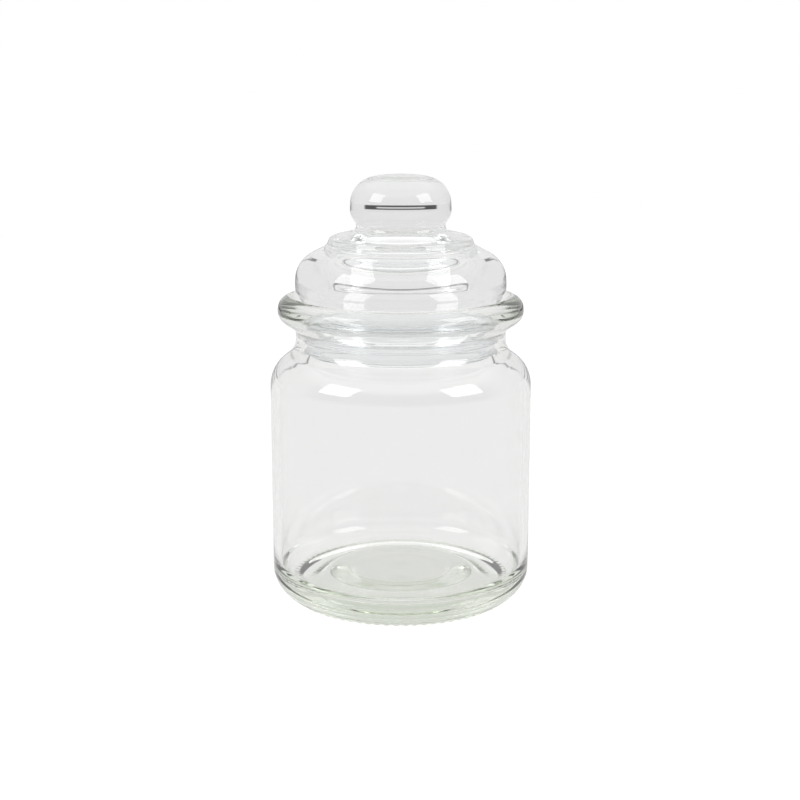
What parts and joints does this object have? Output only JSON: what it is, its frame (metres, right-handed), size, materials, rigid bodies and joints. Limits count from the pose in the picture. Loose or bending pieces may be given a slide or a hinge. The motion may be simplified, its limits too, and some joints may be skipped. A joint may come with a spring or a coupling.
{
  "type": "apothecary jar",
  "caption": "Round clear glass apothecary jar with a drop-in domed glass lid, a solid knob and a soft plastic sealing ring.",
  "frame": {"origin": "middle of the base, at the height of the surface that the jar stands on", "axes": "+Z is the axis that all three pieces are turned about, up through the knob; every piece is round, so +X and +Y are equal"},
  "size_m": [0.1, 0.1, 0.1631],
  "materials": {
    "jar_glass": "clear, very slightly green",
    "lid_glass": "clear",
    "seal_plastic": "soft, milky and see-through"
  },
  "bodies": {
    "jar": {"jar": "jar_glass"},
    "seal": {"seal_ring": "seal_plastic"},
    "lid": {"lid": "lid_glass"}
  },
  "joints": [
    {"name": "lid_lift", "type": "slide", "parent": "jar", "child": "seal", "axis": [0, 0, 1], "range_m": [0, 0.06]},
    {"name": "lid_turn", "type": "hinge", "parent": "seal", "child": "lid", "pos_m": [0, 0, 0.1], "axis": [0, 0, 1], "continuous": true}
  ]
}
